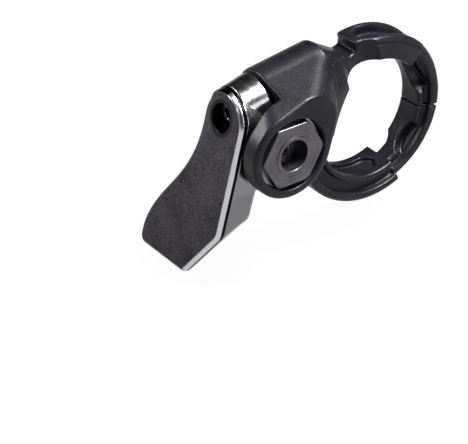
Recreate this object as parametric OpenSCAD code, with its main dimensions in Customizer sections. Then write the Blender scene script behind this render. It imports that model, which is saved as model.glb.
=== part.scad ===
// Under-bar lever remote for a telescopic seat post.
// X runs along the handlebar, Z points up and the clamp's centre is the origin. The body
// reaches towards -Y, and the lever's blade hangs down from its pivot at the body's end.

/* [Handlebar clamp] */
// Diameter of the handlebar that the clamp grips
bar_d = 22.2; // [21.8:0.1:22.8]
// Wall of the clamp ring, from the bar to its outer face
ring_wall = 4.5; // [4.2:0.1:5]
// Width of the ring along the bar, at its gripping lands
ring_w = 7.2; // [6.8:0.1:7.8]
// Width of the ring on both sides of the hinge
waist_w = 6; // [5.6:0.1:6.4]
// Depth of the groove in each side of the ring
groove_depth = 1.1; // [0.6:0.1:1.3]
// Angle of the hinge seam, from +Y towards +Z
seam_angle = -8; // [-12:1:-5]
// Gap between jaw and body at the bolt when the clamp is tight
pinch_gap = 0.8; // [0.5:0.1:1.1]
// Angle that the jaw swings while the bolt backs out
jaw_swing = 5; // [3:0.5:6]

/* [Clamp hinge] */
// Diameter of the hinge pin
hinge_pin_d = 1.5; // [1.2:0.1:1.6]
// Radius of the jaw's knuckle round the pin
knuckle_r = 1.6; // [1.4:0.1:1.7]
// Width of the jaw's knuckle along the pin
knuckle_w = 1.6; // [1.4:0.1:1.8]

/* [Clamp bolt] */
// Thread diameter of the clamp bolt
clamp_bolt_d = 4; // [3.5:0.5:4]
// Length of the clamp bolt under its head
clamp_bolt_len = 11.5; // [10.5:0.5:11.5]
// Thickness of the jaw's ear
ear_t = 4.4; // [3.8:0.1:4.8]
// Thickness of the washer under the bolt's head
bolt_washer_t = 0.6; // [0.4:0.1:0.8]
// Wall of the threaded insert that takes the bolt
insert_wall = 0.7; // [0.5:0.1:0.8]

/* [Pivot] */
// Height of the pivot axis over the bar's axis, at the clamp's centre
pivot_h = 12.8; // [12.6:0.1:13.2]
// Tilt of the pivot axis against +Y
pivot_tilt = 8; // [7:0.5:9]
// Diameter of the body's pivot barrel
barrel_d = 11; // [10.8:0.1:11.4]
// Distance from the bar's surface to the barrel's running face, along the pivot
barrel_reach = 11.5; // [11.3:0.1:12]
// Length of the pivot barrel
barrel_len = 13.1; // [12.6:0.1:13.4]
// Diameter of the pivot bolt's shoulder
shoulder_d = 3; // [2.8:0.1:3.2]
// Thread diameter of the pivot bolt
pivot_thread_d = 2.5; // [2:0.5:2.5]
// Length of the pivot bolt's thread
pivot_thread_len = 6; // [4.5:0.5:6]
// Wall of the plain bushes
bush_wall = 0.8; // [0.6:0.1:0.8]
// Length of each plain bush
bush_len = 1.8; // [1.5:0.1:1.9]
// Thickness of the thrust washer between hub and barrel
thrust_t = 0.5; // [0.4:0.1:0.6]

/* [Return spring] */
// Wire diameter of the return spring
wire_d = 0.6; // [0.5:0.05:0.65]
// Mean radius of the spring's turns
spring_r = 3.5; // [3.4:0.05:3.6]
// Turns of the spring
spring_turns = 4.5; // [3.5:1:4.5]
// Depth of the spring's recess in the barrel
spring_recess = 4.2; // [4.1:0.1:4.6]

/* [Lever] */
// Diameter of the lever's hub
hub_d = 10.2; // [10:0.1:10.4]
// Distance from the barrel's face to the blade's face, along the pivot
hub_len = 7.9; // [7.8:0.1:8.4]
// Lean of the blade's face against the pivot axis
blade_lean = 20; // [18:1:21]
// Thickness of the blade
blade_t = 6.8; // [6.4:0.1:7]
// Thickness of the blade at its bottom edge
tip_t = 6.6; // [6:0.1:6.8]
// Distance by which the blade's back ends above its bottom edge
tip_rise = 4.5; // [3:0.1:5]
// Length of the blade below the pivot
blade_len = 30.5; // [29:0.1:33]
// Width of the blade's bottom edge
tip_w = 14; // [13:0.1:15]
// Width of the blade's neck, beside the hub
neck_w = 10.6; // [10.2:0.1:10.8]
// Width of the rounded edge round the blade's face
edge_w = 1; // [0.6:0.1:1.2]
// Angle that the lever swings
lever_swing = 28; // [20:1:30]

/* [Cable arm] */
// Diameter of the hole for the cable in the lever's arm
cable_hole_d = 1.8; // [1.6:0.1:1.9]
// Distance of the anchored cable from the pivot axis
cable_drop = 7.5; // [7.4:0.1:7.8]
// Thread diameter of the screw that anchors the cable
anchor_d = 2.5; // [2:0.5:2.5]
// Length of the screw that anchors the cable
anchor_len = 4; // [3:0.5:4]

/* [Cable boss] */
// Distance of the cable boss's axis from the barrel's running face, along Y
boss_shift = 0.2; // [0:0.1:0.6]
// Height of the cable boss over the bar's axis
boss_z = 3.35; // [3.1:0.05:3.6]
// Radius of the cable boss
boss_r = 8.15; // [7.9:0.05:8.4]
// Distance from the bar's mid-plane to the boss's front face
boss_front = 9.8; // [9.6:0.1:10.4]
// Thickness of the boss where it overhangs the lever
boss_overhang = 3.3; // [3.1:0.1:3.3]
// Width across flats of the housing stop's hexagon
stop_af = 11; // [10.6:0.1:11.2]
// Height of the housing stop's hexagon
stop_hex_h = 1.6; // [1.4:0.1:1.8]
// Bore of the housing stop, for the ferrule of the cable guide
stop_bore_d = 5.6; // [5:0.1:5.8]
// Stem diameter of the housing stop
stop_stem_d = 7.6; // [7.2:0.1:7.8]

/* [Fits] */
// Radial clearance of a running fit
run_fit = 0.03; // [0.02:0.01:0.06]
// Gap between parts that move past each other
move_gap = 0.4; // [0.35:0.05:0.45]
// Gap round screws and inserts in their holes
seat_gap = 0.02; // [0.01:0.01:0.04]

/* [Hidden] */
$fn = 96;

// Reach of cuts that pass right through, and the overlap of cuts and joined solids
far = 60;
lap = 0.05;

// Clamp ring
bore_r = bar_d / 2;
ring_r = bore_r + ring_wall;
land_half = ring_w / 2;
waist_half = waist_w / 2;
lip_t = 0.9;
bead_t = ring_wall * 0.46;
jaw_bead_t = 1.6;
bead_round = 0.9;
groove_slope = 0.25;
edge_cut = 0.3;

// The body's arm over the bar: its land with a flat pad, a fine line and an outer rib
land_start = 44;
land_end = 103;
arm_end = 150;
pad_t = 2.9;
rib_t = 1;
line_depth = 0.35;
root_t = 2.5;
pocket_start = 47;
pocket_end = 89;
pocket_depth = 1.9;
pocket_half = land_half - 1.5;

// Round scallops that draw the waist in beside the lands, out to the groove's outer wall
neck_half = 1.9;
neck_angle = 104;
neck_round = 5;
scallop_r_to = 12.9;

// The jaw's land and the oval recess in its gripping face
jaw_land = -66;
jaw_end = -196;
recess_start = -84;
recess_end = -124;
recess_half = land_half - 1.7;
recess_depth = 0.8;
jaw_extra = 0.45;
jaw_rise = 0.9;

// The body keeps half of the bar, so that the bar can be laid into it
split_z = bore_r * sin(-seam_angle);
jaw_top = split_z - pinch_gap;

// Clamp hinge, whose pin stands just inside the body's side of the seam
seam_gap = 0.2;
jaw_seam = seam_angle - seam_gap / bore_r * 180 / PI;
pin_r = ring_r - knuckle_r - 0.35;
pin_angle = seam_angle + 6.5;
knuckle_gap = 0.15;
knuckle_link = 2.6;
slot_r = knuckle_r + 0.3;
pin_front = waist_half - groove_depth - 0.25;
pin_back = waist_half - 0.3;

// Clamp bolt
head_r = clamp_bolt_d * 0.85;
head_h = clamp_bolt_d;
head_cut = 0.4;
ear_r = head_r;
ear_bottom = jaw_top - ear_t;
head_top = ear_bottom - bolt_washer_t;
insert_r = clamp_bolt_d / 2 + insert_wall;
insert_len = 6;
ear_slot_r = clamp_bolt_d / 2 + 0.3;
ear_slot_run = 0.4;

// Pivot, measured from the clamp's centre along the pivot
barrel_face = bore_r + barrel_reach;
barrel_r = barrel_d / 2;
barrel_end = barrel_face - barrel_len;
barrel_round = 0.5;
barrel_taper = 0.8;
shoulder_r = shoulder_d / 2;
shoulder_end = barrel_face - 1.5;
bush_r = shoulder_r + run_fit + bush_wall;
hub_r = hub_d / 2;
hub_nose_r = 4.5;
hub_face = barrel_face + thrust_t + 0.1;
hub_nose = barrel_face + 6.7;
blade_y = barrel_face + hub_len;
inner_bush_end = hub_face + bush_len;
outer_bush_start = inner_bush_end + 0.2;
outer_bush_end = outer_bush_start + bush_len;
stack_gap = 0.05;
head_washer_t = 0.3;
disc_spring_t = 0.2;
disc_spring_h = 0.35;
disc_spring_y = outer_bush_end + head_washer_t + 2 * stack_gap;
bolt_head_y = disc_spring_y + disc_spring_h + stack_gap;
bolt_head_h = 1.2;
washer_r = bush_r - 0.2;

// Return spring round a post in the barrel
post_r = spring_r - wire_d / 2 - 0.2;
recess_r = spring_r + wire_d / 2 + 0.3;
recess_floor = barrel_face - spring_recess;
leg_hole_r = wire_d / 2 + 0.05;
leg_len = 1.3;

// Blade, in a frame whose Y runs into the blade and whose Z runs up its face
blade_steps = 10;
edge_steps = 4;
back_round = 1.3;
neck_x = 0.5;
neck_v = -0.6;
neck_left = neck_x - neck_w / 2;
tip_right = -2.3;
tip_left = tip_right - tip_w;

// Cable arm, in the pivot's frame
arm_back = barrel_face - 1;
arm_top = barrel_r + 0.35;
arm_left = -5.2;
arm_right = -0.4;
rib_right = 3.5;
arm_x = (arm_left + arm_right) / 2;
arm_foot = cable_drop + 4.3;
rib_top = cable_drop + 1.5;
rib_foot = cable_drop + 8.1;
pinch_pad_t = 0.5;
pad_top = cable_drop + cable_hole_d / 2;
anchor_top = pad_top + pinch_pad_t;

// The clamp bolt stands clear of the cable arm's foot
ear_gap = 0.65;
bolt_y = arm_back * cos(pivot_tilt) - arm_foot * sin(pivot_tilt) - ear_r - ear_gap;

// Cable boss
boss_y = barrel_face - boss_shift;
boss_back = land_half + move_gap;
overhang_back = boss_front - boss_overhang;
boss_round = 0.6;
crown_y = boss_y - 4;
crown_z = boss_z + 4.35;
crown_r = 5.4;
hex_r = stop_af / 2 / cos(30);
hex_cut = 0.35;
stop_seat = boss_front - stop_hex_h;
stop_washer_t = 0.4;
stem_r = stop_stem_d / 2;
stem_back = overhang_back + 0.1;
stop_floor = 0.4;
stop_nose_r = 1.6;
stop_lip = 0.7;

// Position of the cable line in the pivot's frame
cable_t = boss_y * cos(pivot_tilt) + (pivot_h - boss_z) * sin(pivot_tilt);

// Frames: along the bar, on the hinge pin, along the pivot and on the blade's face
module on_bar() rotate([90, 0, 90]) children();
module at_hinge() on_bar() rotate([0, 0, pin_angle]) translate([pin_r, 0, 0]) children();
module on_pivot() translate([0, 0, pivot_h]) rotate([pivot_tilt, 0, 0]) children();
module on_blade() on_pivot() translate([0, -blade_y, 0]) rotate([-blade_lean, 0, 0]) children();

// A round bar along the pivot axis, between two distances from the clamp's centre
module shaft(r, from, to)
    translate([0, -from, 0]) rotate([-90, 0, 0]) cylinder(r = r, h = from - to);

module taper(r_from, r_to, from, to)
    translate([0, -from, 0]) rotate([-90, 0, 0]) cylinder(r1 = r_from, r2 = r_to, h = from - to);

module sleeve(r, inner, from, to) difference() {
    shaft(r, from, to);
    shaft(inner, from + 1, to - 1);
}

// A round bar along X, between two places along the handlebar
module cross_bar(r, from, to, y = 0, z = 0)
    on_bar() translate([y, z, from]) cylinder(r = r, h = to - from);

// One stretch of the ring, whose section is drawn as radius and place along the bar
module ring_stretch(from, to)
    on_bar() rotate([0, 0, from]) rotate_extrude(angle = to - from) children();

module hex(across_flats, h) cylinder(r = across_flats / 2 / cos(30), h = h, $fn = 6);

// Points along an arc with both its ends, and along a cubic curve without its first point
function arc(c, r, from, to, n) = [for (i = [0 : n]) let (a = from + (to - from) * i / n)
    c + r * [cos(a), sin(a)]];
function curve(a, b, c, d, n) = [for (i = [1 : n]) let (t = i / n, s = 1 - t)
    s * s * s * a + 3 * s * s * t * b + 3 * s * t * t * c + t * t * t * d];
function unit(v) = v / norm(v);

// One side of the ring's section: bore edge, inner lip, groove and rounded outer bead
function ring_side(lip, bead, groove, lip_wall, bead_wall, outer) = concat(
    [[bore_r - edge_cut, lip - 2 * edge_cut], [bore_r + edge_cut, lip], [bore_r + lip_wall, lip],
     [bore_r + lip_wall + groove_slope, bead - groove],
     [outer - bead_wall - groove_slope, bead - groove], [outer - bead_wall, bead]],
    arc([outer - bead_round, bead - bead_round], bead_round, 90, 0, 5));

function flip_side(points) = [for (i = [len(points) - 1 : -1 : 0]) [points[i][0], -points[i][1]]];

module ring_section(lip, bead, groove, lip_wall, bead_wall, outer = ring_r) {
    side = ring_side(lip, bead, groove, lip_wall, bead_wall, outer);
    polygon(concat(side, flip_side(side)));
}

module waist_section() ring_section(waist_half - 0.5, waist_half, groove_depth, lip_t, bead_t);

// An oblong pocket with round ends, sunk into the ring between two radii
module oblong(from, to, half, r_from, r_to) intersection() {
    ring_stretch(from - 20, to + 20) translate([r_from, -far]) square([r_to - r_from, 2 * far]);
    union() {
        ring_stretch(from, to) translate([r_from - 1, -half]) square([r_to - r_from + 2, 2 * half]);
        for (a = [from, to])
            on_bar() rotate([0, 0, a]) translate([r_from - 2, 0, 0]) rotate([0, 90, 0])
                cylinder(r = half, h = r_to - r_from + 4);
    }
}

// A round scallop into one side of the ring, at an angle and down to a place along the bar
module scallop(angle, r, side, x, r_to)
    on_bar() rotate([0, 0, angle]) translate([bore_r - 2, 0, x + side * r]) rotate([0, 90, 0])
        cylinder(r = r, h = r_to - bore_r + 2);

// Body casting: pivot barrel, cable boss, saddle and the arm over the bar

module upper_arm() {
    difference() {
        ring_stretch(seam_angle, land_start + 1) waist_section();
        scallop(27, 5, 1, -0.4, scallop_r_to);
    }
    difference() {
        ring_stretch(land_start, land_end)
            ring_section(land_half, land_half, line_depth, pad_t, rib_t);
        oblong(pocket_start, pocket_end, pocket_half, ring_r - pocket_depth, ring_r + 1);
    }
    ring_stretch(land_end - 1, arm_end)
        translate([bore_r - lap, 0.4 - land_half]) square([root_t + lap, ring_w - 0.8]);
}

// The front half: a flat-faced disc and its crown, blended into the barrel
module housing() hull() {
    $fn = 64;
    for (disc = [[boss_r, -boss_y, boss_z], [crown_r, -crown_y, crown_z]]) {
        cross_bar(disc[0], boss_back, boss_front - boss_round, disc[1], disc[2]);
        cross_bar(disc[0] - boss_round * 0.3, boss_back, boss_front - boss_round * 0.3, disc[1], disc[2]);
        cross_bar(disc[0] - boss_round, boss_back, boss_front, disc[1], disc[2]);
    }
    on_pivot() shaft(barrel_r - 0.1, barrel_face - lap, barrel_end + barrel_taper);
}

// The rear half, which reaches from the barrel down to the bolt and over to the arm
module saddle() hull() {
    $fn = 48;
    cross_bar(1.2, -4, 5, -bolt_y - 2.6, split_z + 0.7);
    cross_bar(1.2, -land_half, 6.2, -bore_r - 0.9, split_z + 0.7);
    cross_bar(1.5, -3, 3.2, -4.4, 10.8);
    cross_bar(3.4, 0, boss_front - 1.2, 0.8 - crown_y, crown_z - 1);
    on_pivot() shaft(barrel_r - 0.1, 18, barrel_end + barrel_taper);
}

module barrel() on_pivot() {
    taper(barrel_r - barrel_round, barrel_r, barrel_face, barrel_face - barrel_round);
    shaft(barrel_r, barrel_face - barrel_round, barrel_end + barrel_taper);
    taper(barrel_r, barrel_r - barrel_taper, barrel_end + barrel_taper, barrel_end);
}

// Room behind the boss for the lever's hub, and below the barrel for its cable arm
module lever_room() on_pivot() {
    translate([-far, -barrel_face - far, -far]) cube([far + overhang_back, far, 2 * far]);
    translate([-far, -arm_back + move_gap - far, -far]) cube([far + boss_back, far, far]);
}

// Room under the saddle for the jaw and its ear
module jaw_room()
    translate([-far, -far, split_z - far]) cube([far + boss_back, 2 * far, far]);

module pivot_holes() on_pivot() {
    sleeve(recess_r, post_r, barrel_face + 0.5, recess_floor);
    shaft(shoulder_r + seat_gap, barrel_face + 1, shoulder_end);
    shaft(pivot_thread_d / 2 + seat_gap, barrel_face, shoulder_end - pivot_thread_len - 0.5);
    translate([-spring_r, 0, 0]) shaft(leg_hole_r, recess_floor + lap, recess_floor - leg_len - 0.2);
}

module stop_holes() {
    cross_bar(hex_r + 0.2, stop_seat - stop_washer_t, boss_front + 1, -boss_y, boss_z);
    cross_bar(stem_r + seat_gap, stem_back, boss_front, -boss_y, boss_z);
    cross_bar(stop_nose_r + 0.3, 0, boss_front, -boss_y, boss_z);
}

// Slot for the jaw's knuckle, open outwards and towards the jaw, and the pin's blind hole
module hinge_room() at_hinge() {
    translate([0, 0, -knuckle_w / 2 - knuckle_gap]) {
        cylinder(r = slot_r, h = knuckle_w + 2 * knuckle_gap);
        translate([-slot_r, -far, 0]) cube([far, far, knuckle_w + 2 * knuckle_gap]);
        translate([0, -far, 0]) cube([far, far + slot_r, knuckle_w + 2 * knuckle_gap]);
    }
    translate([0, 0, -far]) cylinder(r = hinge_pin_d / 2 + seat_gap, h = far + pin_front);
}

module insert_holes() translate([0, -bolt_y, 0]) {
    translate([0, 0, split_z - 1]) cylinder(r = insert_r + seat_gap, h = insert_len + 1);
    translate([0, 0, split_z]) cylinder(r = clamp_bolt_d / 2, h = insert_len + 1.2);
}

module body() color([0.2, 0.2, 0.24]) difference() {
    union() {
        difference() {
            union() {
                housing();
                saddle();
            }
            jaw_room();
            lever_room();
        }
        barrel();
        upper_arm();
    }
    cross_bar(bore_r, -far, far);
    scallop(neck_angle, neck_round, 1, neck_half, far);
    hinge_room();
    pivot_holes();
    stop_holes();
    insert_holes();
}

// Lower jaw of the clamp, with its hinge knuckle and its ear for the bolt

module jaw() color([0.2, 0.2, 0.24]) difference() {
    union() {
        difference() {
            intersection() {
                ring_stretch(jaw_land - 1, jaw_seam) waist_section();
                cross_bar(ring_r, -far, far, 0, jaw_rise);
            }
            seam_relief();
            scallop(-40, 3.5, 1, 0.4, scallop_r_to);
            scallop(-62, 5, -1, -0.6, scallop_r_to);
        }
        ring_stretch(jaw_end, jaw_land)
            ring_section(land_half, land_half, groove_depth, lip_t, jaw_bead_t, ring_r + jaw_extra);
        ear();
        knuckle();
    }
    cross_bar(bore_r, -far, far);
    oblong(recess_end, recess_start, recess_half, bore_r - 1, bore_r + recess_depth);
    translate([-far, -far, jaw_top]) cube([2 * far, far, far]);
    translate([0, -bolt_y, ear_bottom - far]) cylinder(r = head_r + 0.3, h = far);
    bolt_slot();
    at_hinge() cylinder(r = hinge_pin_d / 2 + run_fit, h = far, center = true);
}

module ear() translate([0, -bolt_y, ear_bottom - 1]) linear_extrude(ear_t + 2) {
    circle(ear_r);
    translate([-ear_r, 0]) square([2 * ear_r, bolt_y - bore_r]);
}

// The bolt's slot is long along Y, so that the ear can swing round the bolt
module bolt_slot() translate([0, -bolt_y, ear_bottom - 1]) linear_extrude(far) {
    for (y = [-ear_slot_run, ear_slot_run]) translate([0, y]) circle(ear_slot_r);
    translate([-ear_slot_r, -ear_slot_run]) square([2 * ear_slot_r, 2 * ear_slot_run]);
}

module knuckle() at_hinge() translate([0, 0, -knuckle_w / 2]) {
    cylinder(r = knuckle_r, h = knuckle_w);
    translate([-knuckle_r, -knuckle_link, 0]) cube([2 * knuckle_r, knuckle_link, knuckle_w]);
}

// A wedge off the jaw's shoulder outside the pin, which clears the arm as the jaw swings
module seam_relief() on_bar() rotate([0, 0, jaw_seam]) translate([pin_r, 0, -far])
    linear_extrude(2 * far) polygon([[0, 0], [far, lap], [far, -far * tan(jaw_swing + 2)]]);

module hinge_pin() color("silver") at_hinge() translate([0, 0, -pin_back])
    cylinder(r = hinge_pin_d / 2, h = pin_back + pin_front);

// Socket-headed clamp bolt, its washer and the insert that takes its thread

module clamp_bolt() color([0.15, 0.15, 0.16]) translate([0, -bolt_y, head_top - head_h])
    difference() {
        union() {
            cylinder(r1 = head_r - head_cut, r2 = head_r, h = head_cut);
            translate([0, 0, head_cut]) cylinder(r = head_r, h = head_h - head_cut);
            cylinder(r = clamp_bolt_d / 2, h = head_h + clamp_bolt_len);
        }
        translate([0, 0, -1]) hex(clamp_bolt_d * 0.75, head_h * 0.55 + 1);
    }

module bolt_washer() color("silver") translate([0, -bolt_y, head_top]) difference() {
    cylinder(r = head_r, h = bolt_washer_t);
    translate([0, 0, -1]) cylinder(r = clamp_bolt_d / 2 + 0.1, h = far);
}

module thread_insert() color("silver") translate([0, -bolt_y, split_z]) difference() {
    cylinder(r = insert_r, h = insert_len);
    translate([0, 0, -1]) cylinder(r = clamp_bolt_d / 2 + run_fit, h = far);
}

// Lever: blade, hub and cable arm in one casting

// Outline of the blade's face, anticlockwise from the right of the neck
function blade_outline() = concat(
    arc([neck_x, neck_v], neck_w / 2, 0, 180, 3 * blade_steps),
    curve([neck_left, neck_v], [neck_left, -7.5], [neck_left - 2.4, -11.8],
        [tip_left + 5.3, -17], blade_steps),
    curve([tip_left + 5.3, -17], [tip_left + 2.3, -21.1], [tip_left + 0.2, -24.5],
        [tip_left, 2.2 - blade_len], blade_steps),
    arc([tip_left + 1.5, 1.5 - blade_len], 1.5, 180, 270, 8),
    arc([tip_right - 1.4, 1.7 - blade_len], 1.7, 270, 323, 5),
    arc([1.6, 11.3 - blade_len], 3.2, 323, 357, 6));

// How far the back of the blade rises, and how much of its thickness it gives up, below the neck
function risen(v) = v + tip_rise * max(0, neck_v - v) / blade_len;
function thinning(v) = (blade_t - tip_t) * (neck_v - v) / blade_len;

// The outline moved inwards by d
function inset(points, d) = let (n = len(points)) [for (i = [0 : n - 1])
    let (t = unit(points[(i + 1) % n] - points[(i + n - 1) % n])) points[i] + d * [-t[1], t[0]]];

// A solid skinned over rings of points, with the first and the last ring as its caps
module skin(rings) {
    n = len(rings[0]);
    last = len(rings) - 1;
    polyhedron(
        points = [for (ring = rings) each ring],
        faces = concat(
            [[for (i = [n - 1 : -1 : 0]) i]],
            [for (k = [0 : last - 1], i = [0 : n - 1]) let (j = (i + 1) % n)
                each [[k * n + i, k * n + j, (k + 1) * n + j],
                    [k * n + i, (k + 1) * n + j, (k + 1) * n + i]]],
            [[for (i = [0 : n - 1]) last * n + i]]));
}

// A slab with a rounded edge round its face and round its back
module blade() {
    outline = blade_outline();
    front = [for (i = [0 : edge_steps]) let (a = 90 * i / edge_steps)
        [edge_w * (1 - sin(a)), edge_w * (1 - cos(a))]];
    back = [for (i = [0 : edge_steps]) let (a = 90 * i / edge_steps)
        [back_round * (1 - cos(a)), blade_t - back_round * (1 - sin(a))]];
    skin(concat(
        [for (level = front) [for (p = inset(outline, level[0])) [p[0], level[1], p[1]]]],
        [for (level = back) [for (p = inset(outline, level[0]))
            [p[0], level[1] - thinning(risen(p[1])), risen(p[1])]]]));
}

// A plate across the lever, drawn along the pivot and up from it
module arm_plate(from, to, points)
    on_pivot() on_bar() translate([0, 0, from]) linear_extrude(to - from) polygon(points);

// How far the blade's back stands from the clamp's centre, at a drop below the pivot
function back_at(drop) = blade_y - blade_t / cos(blade_lean) + drop * tan(blade_lean);

module cable_arm() {
    arm_plate(arm_left, arm_right, [[-back_at(4) - 1.5, -4], [-hub_face, -4],
        [-hub_face, -arm_top], [-arm_back, -arm_top], [-arm_back, -arm_foot],
        [-back_at(arm_foot + 2.2) - 1, -arm_foot - 2.2]]);
    arm_plate(arm_left + 0.4, rib_right, [[-back_at(rib_top) - 1, -rib_top],
        [-arm_back - 1, -rib_top - 0.5], [-arm_back - 0.6, -arm_foot - 0.4],
        [-back_at(rib_foot) - 0.8, -rib_foot]]);
}

module lever() color([0.22, 0.22, 0.25]) difference() {
    union() {
        difference() {
            on_blade() blade();
            on_pivot() translate([-far, -hub_face, -barrel_r - move_gap]) cube(2 * far);
        }
        on_pivot() taper(hub_nose_r, hub_r, hub_nose, hub_face);
        cable_arm();
    }
    on_pivot() {
        shaft(bush_r, far, 0);
        translate([spring_r, 0, 0]) shaft(leg_hole_r, hub_face + leg_len + 0.2, 0);
        translate([-far, -cable_t, -cable_drop]) rotate([0, 90, 0])
            cylinder(r = cable_hole_d / 2, h = 2 * far);
        translate([arm_x, -cable_t, -far])
            cylinder(r = anchor_d / 2 + seat_gap, h = far - cable_drop);
    }
}

module pinch_pad() color("silver") on_pivot() translate([arm_x, -cable_t, -anchor_top])
    cylinder(r = anchor_d / 2, h = pinch_pad_t);

module anchor_screw() color([0.15, 0.15, 0.16]) on_pivot()
    translate([arm_x, -cable_t, -anchor_top - anchor_len]) difference() {
        cylinder(r = anchor_d / 2, h = anchor_len);
        translate([0, 0, -1]) hex(anchor_d / 2, anchor_len * 0.45 + 1);
    }

// Pivot bolt and what it holds

module pivot_bolt() color([0.3, 0.3, 0.32]) on_pivot() difference() {
    union() {
        taper(washer_r - 0.3, washer_r, bolt_head_y + bolt_head_h, bolt_head_y + bolt_head_h - 0.3);
        shaft(washer_r, bolt_head_y + bolt_head_h - 0.3, bolt_head_y);
        shaft(shoulder_r, bolt_head_y + lap, shoulder_end);
        shaft(pivot_thread_d / 2, barrel_face, shoulder_end - pivot_thread_len);
    }
    translate([0, -bolt_head_y - bolt_head_h - 1, 0]) rotate([-90, 0, 0]) hex(2, 1.8);
}

module head_washer() color("silver") on_pivot()
    sleeve(washer_r, shoulder_r + run_fit, disc_spring_y - stack_gap, outer_bush_end + stack_gap);

// A dished spring washer, which takes up the end play
module disc_spring() color("silver") on_pivot() translate([0, -bolt_head_y + stack_gap, 0])
    rotate([-90, 0, 0]) rotate_extrude() polygon([
        [shoulder_r + run_fit, 0], [washer_r, disc_spring_h - disc_spring_t],
        [washer_r, disc_spring_h], [shoulder_r + run_fit, disc_spring_t]]);

module outer_bush() color([0.75, 0.6, 0.3]) on_pivot()
    sleeve(bush_r, shoulder_r + run_fit, outer_bush_end, outer_bush_start);

module inner_bush() color([0.75, 0.6, 0.3]) on_pivot()
    sleeve(bush_r, shoulder_r + run_fit, inner_bush_end, hub_face);

module thrust_washer() color([0.1, 0.1, 0.1]) on_pivot()
    sleeve(post_r - 0.1, shoulder_r + run_fit, barrel_face + thrust_t, barrel_face);

// Return spring: turns round the post, with a leg in the barrel and a leg in the hub

spring_start = recess_floor + wire_d / 2 + 0.1;
spring_lead = wire_d + 0.1;
spring_steps = 20;

function spring_point(angle, y) = [-spring_r * cos(angle), -y, spring_r * sin(angle)];

function spring_path() = concat(
    [spring_point(0, recess_floor - leg_len), spring_point(0, spring_start - 0.35)],
    [for (i = [1 : spring_steps * spring_turns - 1])
        spring_point(360 * i / spring_steps, spring_start + spring_lead * i / spring_steps)],
    [spring_point(360 * spring_turns, spring_start + spring_lead * spring_turns + 0.35),
     spring_point(360 * spring_turns, hub_face + leg_len)]);

// A round wire along a path, as rings that stand square to the path
function wire_rings(path, r, sides) = let (last = len(path) - 1) [for (i = [0 : last]) let (
    along = unit(path[min(i + 1, last)] - path[max(i - 1, 0)]),
    radial = unit([path[i][0], 0, path[i][2]]),
    out = unit(radial - (radial * along) * along),
    side = cross(out, along))
    [for (k = [0 : sides - 1]) let (a = 360 * k / sides) path[i] + r * (cos(a) * out + sin(a) * side)]];

module return_spring() color("silver") on_pivot() skin(wire_rings(spring_path(), wire_d / 2, 8));

// Housing stop: a hexagon on a stem, bored for the guide's ferrule and for the cable

module housing_stop() color([0.33, 0.33, 0.36]) difference() {
    union() {
        intersection() {
            on_bar() translate([-boss_y, boss_z, stop_seat]) hex(stop_af, stop_hex_h);
            on_bar() translate([-boss_y, boss_z, stop_seat])
                cylinder(r1 = hex_r + stop_hex_h - hex_cut, r2 = hex_r - hex_cut, h = stop_hex_h);
        }
        cross_bar(stem_r, stem_back, stop_seat + lap, -boss_y, boss_z);
        cross_bar(stop_nose_r, boss_back + 0.2, stem_back + lap, -boss_y, boss_z);
        cross_bar(stop_bore_d / 2 + stop_lip, stop_seat, boss_front + 0.15, -boss_y, boss_z);
    }
    cross_bar(stop_bore_d / 2, stem_back + stop_floor, far, -boss_y, boss_z);
    cross_bar(cable_hole_d / 2, 0, far, -boss_y, boss_z);
}

module stop_washer() color("silver") difference() {
    cross_bar(hex_r, stop_seat - stop_washer_t, stop_seat, -boss_y, boss_z);
    cross_bar(stem_r + seat_gap, 0, far, -boss_y, boss_z);
}

body();
jaw();
hinge_pin();
clamp_bolt();
bolt_washer();
thread_insert();
lever();
pivot_bolt();
head_washer();
disc_spring();
outer_bush();
inner_bush();
thrust_washer();
return_spring();
housing_stop();
stop_washer();
anchor_screw();
pinch_pad();
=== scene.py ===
"""The finished look of a thumb-lever remote: castings, turned parts, studio and camera.

Sizes in the classes are millimetres, as in the part's source, and the scene is in metres.
"""
import logging
import math
from collections.abc import Callable, Sequence
from dataclasses import dataclass
from enum import Enum

import bpy
from mathutils import Matrix, Vector


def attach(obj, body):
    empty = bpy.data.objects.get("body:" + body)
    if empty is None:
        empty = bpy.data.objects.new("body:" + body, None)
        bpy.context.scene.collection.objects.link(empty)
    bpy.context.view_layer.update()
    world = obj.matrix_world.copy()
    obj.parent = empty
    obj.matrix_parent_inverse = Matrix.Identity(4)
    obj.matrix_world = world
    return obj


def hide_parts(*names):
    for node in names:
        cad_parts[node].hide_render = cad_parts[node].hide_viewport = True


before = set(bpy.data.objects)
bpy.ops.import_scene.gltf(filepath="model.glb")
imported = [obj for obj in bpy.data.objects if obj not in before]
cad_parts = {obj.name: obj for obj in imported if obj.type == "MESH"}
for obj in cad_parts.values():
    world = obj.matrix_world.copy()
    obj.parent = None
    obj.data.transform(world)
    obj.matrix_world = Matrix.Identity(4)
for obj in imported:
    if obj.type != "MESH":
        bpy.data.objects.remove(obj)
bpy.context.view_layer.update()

MM = 0.001
LOG = logging.getLogger("lever_remote")

Triple = tuple[float, float, float]
Colour = Triple
Radius = float | Callable[[float], float]
Socket = bpy.types.NodeSocket


class Body(Enum):
    """The bodies that pieces ride on."""

    FRAME = "frame"
    LEVER = "lever_arm"
    JAW = "lower_jaw"
    BOLT = "bolt"


class Slot(Enum):
    """The record's material slots."""

    BODY = "body"
    LEVER = "lever"
    STOP = "stop"
    STEEL = "steel"
    BLACK_STEEL = "black_steel"
    BUSH = "bush"
    WASHER = "washer"


class Lay(Enum):
    """How the tool marks lie on a metal surface."""

    TURNED = "turned"
    ROLLED = "rolled"
    TUMBLED = "tumbled"


# Node trees


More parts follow.
